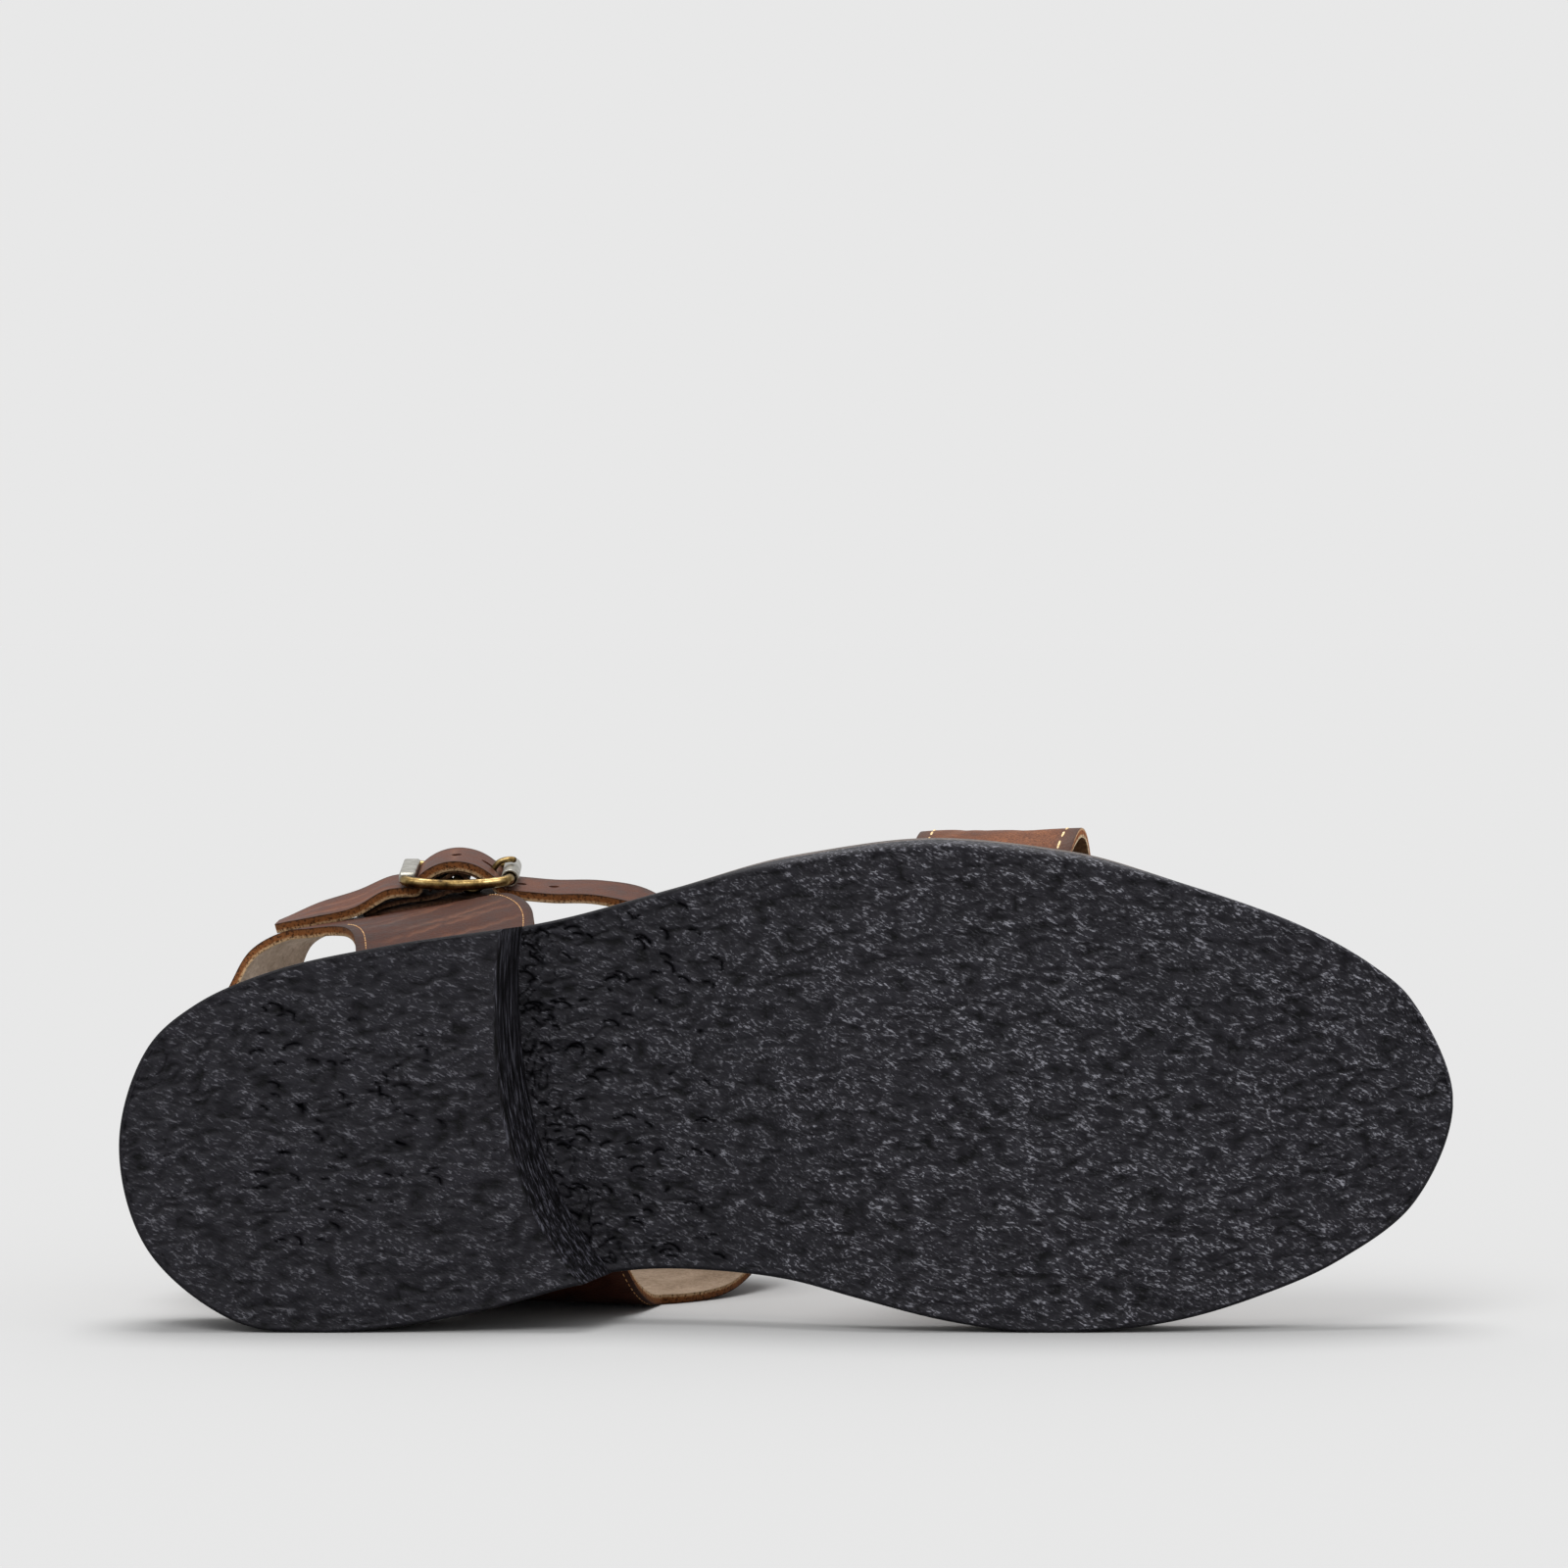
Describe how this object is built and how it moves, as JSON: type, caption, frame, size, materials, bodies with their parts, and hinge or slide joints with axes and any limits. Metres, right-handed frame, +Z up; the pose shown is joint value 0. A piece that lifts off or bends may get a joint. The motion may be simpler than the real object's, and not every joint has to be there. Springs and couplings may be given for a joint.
{
  "type": "chunky sandal",
  "caption": "Right sandal with a crepe rubber sole and heel, a broad toe band and a buckled ankle strap, lying on its medial side.",
  "frame": {"origin": "middle of the bounding box's bottom, on the floor that the sandal lies on", "axes": "+X from the heel to the toe, -Y out of the sole, +Z up towards the lateral side"},
  "size_m": [0.29, 0.1172, 0.1087],
  "materials": {
    "crepe_rubber": "black natural crepe rubber, wrinkled and matt",
    "midsole_rubber": "grey-brown rubber sheet with a ground edge",
    "footbed_leather": "smooth vegetable tanned footbed leather",
    "tan_leather": "tumbled tan leather with a fine pebble grain",
    "brown_leather": "waxed brown leather with lighter pulled creases",
    "buckle_brass": "antique brass, rubbed bright on the corners",
    "buckle_steel": "satin nickel plated steel"
  },
  "bodies": {
    "root": {"outsole": "crepe_rubber", "heel_block": "crepe_rubber", "midsole": "midsole_rubber", "insole": "footbed_leather", "toe_band": "tan_leather", "ankle_strap": "brown_leather", "chape": "brown_leather", "buckle_frame": "buckle_brass", "buckle_roller": "buckle_steel", "buckle_prong": "buckle_brass"}
  },
  "joints": []
}
